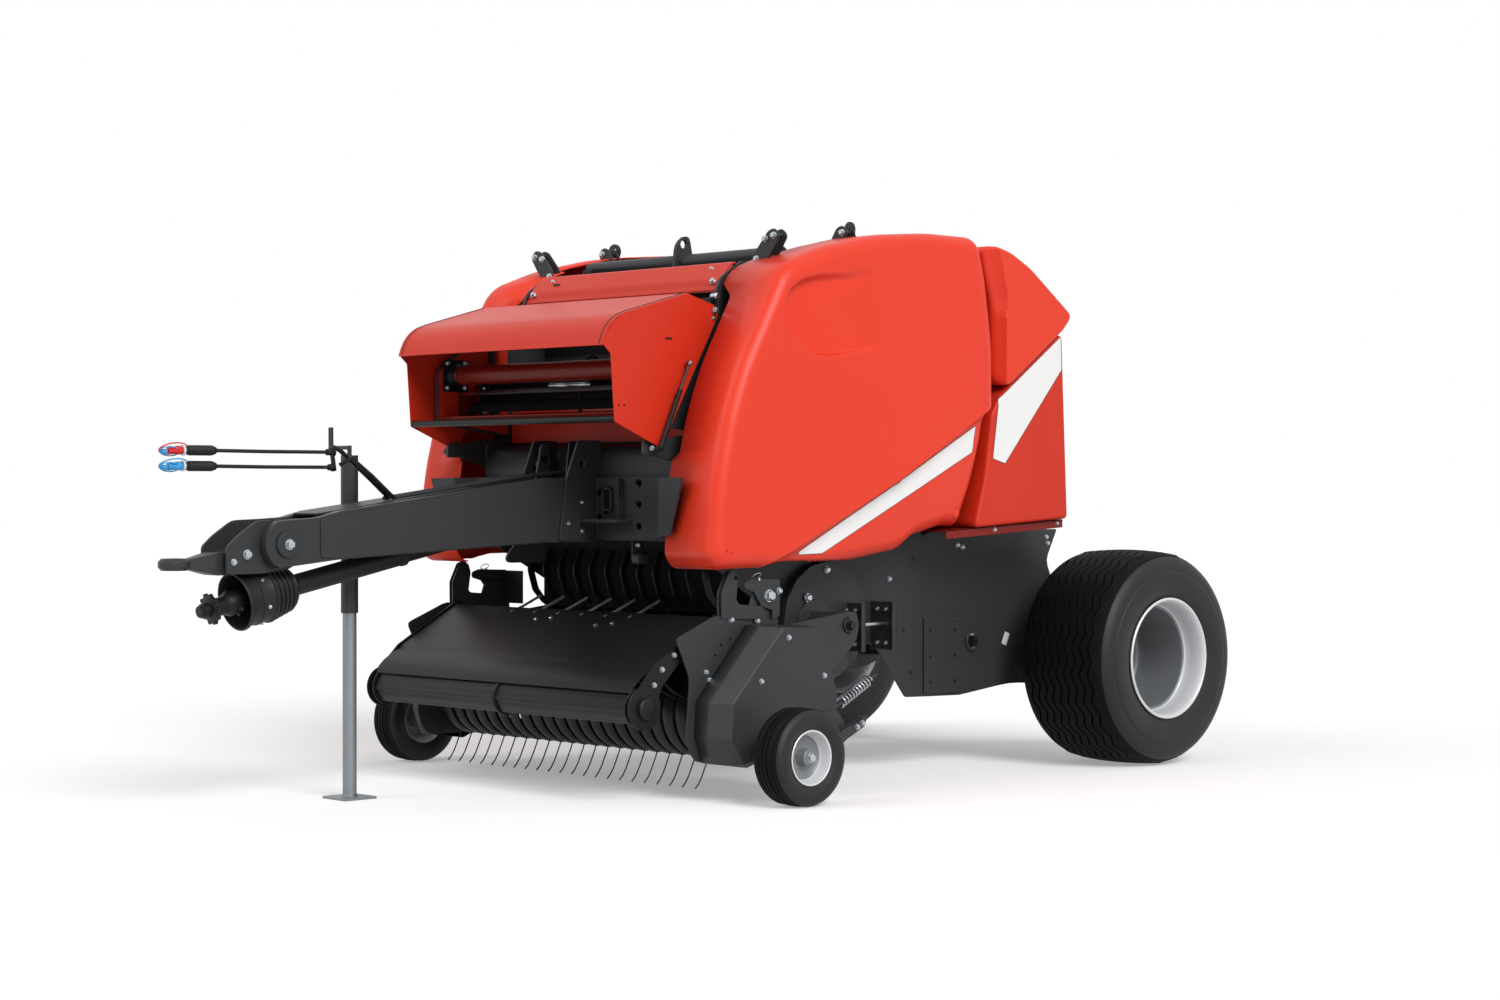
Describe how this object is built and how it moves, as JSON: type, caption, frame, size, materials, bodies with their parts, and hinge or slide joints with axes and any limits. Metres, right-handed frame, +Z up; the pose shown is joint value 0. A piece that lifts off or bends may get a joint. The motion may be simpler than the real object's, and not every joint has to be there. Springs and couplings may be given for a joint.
{
  "type": "round baler",
  "caption": "Trailed round baler: lifting tailgate, gull-wing side panels, net box hood, tine pickup with gauge wheels, towing eye and drive shaft.",
  "frame": {"origin": "on the ground, at the middle of the machine's length and width", "axes": "+Z up, -Y towards the towing eye, +X towards the machine's left side panel as seen from above with the eye ahead"},
  "size_m": [2.568, 4.72, 2.269],
  "materials": {
    "red_moulding": "glossy vermilion",
    "red_paint": "glossy vermilion",
    "deep_red_paint": "satin dark red",
    "charcoal_paint": "satin charcoal",
    "black_paint": "satin black",
    "black_plastic": "matt black",
    "tyre_rubber": "matt black",
    "silver_paint": "satin silver",
    "zinc": "bright zinc",
    "lamp_plastic": "glossy amber red"
  },
  "bodies": {
    "chassis": {"axle_beam": "charcoal_paint", "chamber_front": "red_paint", "chamber_roof": "charcoal_paint", "chamber_side_left": "charcoal_paint", "chamber_side_right": "charcoal_paint", "chassis_plate_left": "charcoal_paint", "chassis_plate_right": "charcoal_paint", "crossbar": "red_paint", "drawbar_beam_left": "charcoal_paint", "drawbar_beam_right": "charcoal_paint", "drawbar_head": "charcoal_paint", "front_beam": "charcoal_paint", "gearbox": "charcoal_paint", "hose_holder": "charcoal_paint", "hydraulic_line_lower": "black_paint", "hydraulic_line_upper": "black_paint", "jack_tube": "charcoal_paint", "net_box": "charcoal_paint", "pto_shield": "black_plastic", "top_tube": "charcoal_paint", "towing_eye": "charcoal_paint"},
    "rear_wheel_left": {"rear_tyre_left": "tyre_rubber", "rear_rim_left": "silver_paint"},
    "rear_wheel_right": {"rear_tyre_right": "tyre_rubber", "rear_rim_right": "silver_paint"},
    "pickup": {"pickup_frame": "charcoal_paint", "stripper_bands": "black_paint", "drive_cover_left": "charcoal_paint", "drive_cover_right": "charcoal_paint", "gauge_arm_left": "charcoal_paint", "gauge_arm_right": "charcoal_paint"},
    "gauge_wheel_left": {"gauge_tyre_left": "tyre_rubber", "gauge_rim_left": "silver_paint"},
    "gauge_wheel_right": {"gauge_tyre_right": "tyre_rubber", "gauge_rim_right": "silver_paint"},
    "reel": {"tine_reel": "charcoal_paint"},
    "crop_guard": {"wind_guard": "charcoal_paint"},
    "crop_roller": {"guard_roller": "black_paint"},
    "rotor": {"feed_rotor": "charcoal_paint"},
    "net_feed": {"net_roller": "deep_red_paint"},
    "drive_shaft": {"pto_shaft": "black_paint"},
    "net_hood": {"hood": "red_paint"},
    "strut_left": {"strut_tube_left": "black_paint"},
    "strut_right": {"strut_tube_right": "black_paint"},
    "strut_piston_left": {"strut_rod_left": "zinc"},
    "strut_piston_right": {"strut_rod_right": "zinc"},
    "tailgate": {"tailgate_shell": "charcoal_paint", "tailgate_cover": "red_paint", "tailgate_panel_left": "red_moulding", "tailgate_panel_right": "red_moulding", "tailgate_spoiler_left": "red_moulding", "tailgate_spoiler_right": "red_moulding", "rear_lamp_left": "lamp_plastic", "rear_lamp_right": "lamp_plastic"},
    "door_left": {"side_panel_left": "red_moulding"},
    "door_right": {"side_panel_right": "red_moulding"},
    "jack_foot": {"jack_leg": "zinc"}
  },
  "joints": [
    {"name": "rear_wheel_left_spin", "type": "hinge", "parent": "chassis", "child": "rear_wheel_left", "pos_m": [0.99, 1.894, 0.466], "axis": [1, 0, 0], "continuous": true},
    {"name": "rear_wheel_right_spin", "type": "hinge", "parent": "chassis", "child": "rear_wheel_right", "pos_m": [-0.99, 1.894, 0.466], "axis": [1, 0, 0], "continuous": true},
    {"name": "pickup_lift", "type": "hinge", "parent": "chassis", "child": "pickup", "pos_m": [0, 0.294, 0.65], "axis": [-1, 0, 0], "range_deg": [0, 12]},
    {"name": "gauge_wheel_left_spin", "type": "hinge", "parent": "pickup", "child": "gauge_wheel_left", "pos_m": [1.2075, -0.328, 0.1875], "axis": [1, 0, 0], "continuous": true},
    {"name": "gauge_wheel_right_spin", "type": "hinge", "parent": "pickup", "child": "gauge_wheel_right", "pos_m": [-1.2075, -0.328, 0.1875], "axis": [1, 0, 0], "continuous": true},
    {"name": "tine_reel_spin", "type": "hinge", "parent": "pickup", "child": "reel", "pos_m": [0, -0.344, 0.33], "axis": [1, 0, 0], "continuous": true},
    {"name": "wind_guard_lift", "type": "hinge", "parent": "pickup", "child": "crop_guard", "pos_m": [0, -0.392, 0.7], "axis": [-1, 0, 0], "range_deg": [0, 25]},
    {"name": "guard_roller_spin", "type": "hinge", "parent": "crop_guard", "child": "crop_roller", "pos_m": [0, -0.777, 0.372], "axis": [1, 0, 0], "continuous": true},
    {"name": "feed_rotor_spin", "type": "hinge", "parent": "chassis", "child": "rotor", "pos_m": [0, 0.294, 0.65], "axis": [1, 0, 0], "continuous": true},
    {"name": "net_roller_spin", "type": "hinge", "parent": "chassis", "child": "net_feed", "pos_m": [0, -0.576, 1.671], "axis": [1, 0, 0], "continuous": true},
    {"name": "drive_shaft_spin", "type": "hinge", "parent": "chassis", "child": "drive_shaft", "pos_m": [0, -2.2, 0.752], "axis": [0, 0.9779, 0.2093], "continuous": true},
    {"name": "hood_open", "type": "hinge", "parent": "chassis", "child": "net_hood", "pos_m": [0, -0.252, 1.902], "axis": [-1, 0, 0], "range_deg": [0, 50]},
    {"name": "strut_left_tilt", "type": "hinge", "parent": "chassis", "child": "strut_left", "pos_m": [0.676, -0.558, 1.357], "axis": [1, 0, 0], "range_deg": [0, 19.71]},
    {"name": "strut_right_tilt", "type": "hinge", "parent": "chassis", "child": "strut_right", "pos_m": [-0.676, -0.558, 1.357], "axis": [1, 0, 0], "range_deg": [0, 19.71]},
    {"name": "strut_left_stroke", "type": "slide", "parent": "strut_left", "child": "strut_piston_left", "axis": [0, 0.4117, 0.9113], "range_m": [0, 0.1652]},
    {"name": "strut_right_stroke", "type": "slide", "parent": "strut_right", "child": "strut_piston_right", "axis": [0, 0.4117, 0.9113], "range_m": [0, 0.1652]},
    {"name": "tailgate_open", "type": "hinge", "parent": "chassis", "child": "tailgate", "pos_m": [0, 1.014, 2.185], "axis": [1, 0, 0], "range_deg": [0, 60]},
    {"name": "side_panel_left_open", "type": "hinge", "parent": "chassis", "child": "door_left", "pos_m": [0.75, 0.005, 2.207], "axis": [0, -0.9959, -0.0903], "range_deg": [0, 70]},
    {"name": "side_panel_right_open", "type": "hinge", "parent": "chassis", "child": "door_right", "pos_m": [-0.75, 0.005, 2.207], "axis": [0, 0.9959, 0.0903], "range_deg": [0, 70]},
    {"name": "jack_leg_slide", "type": "slide", "parent": "chassis", "child": "jack_foot", "axis": [0, 0, 1], "range_m": [0, 0.32]}
  ],
  "couplings": [
    {"joint": "strut_left_tilt", "follows": "hood_open", "ratio": 0.39404},
    {"joint": "strut_right_tilt", "follows": "hood_open", "ratio": 0.39404},
    {"joint": "strut_left_stroke", "follows": "hood_open", "m_per_rad": 0.18906},
    {"joint": "strut_right_stroke", "follows": "hood_open", "m_per_rad": 0.18906}
  ]
}
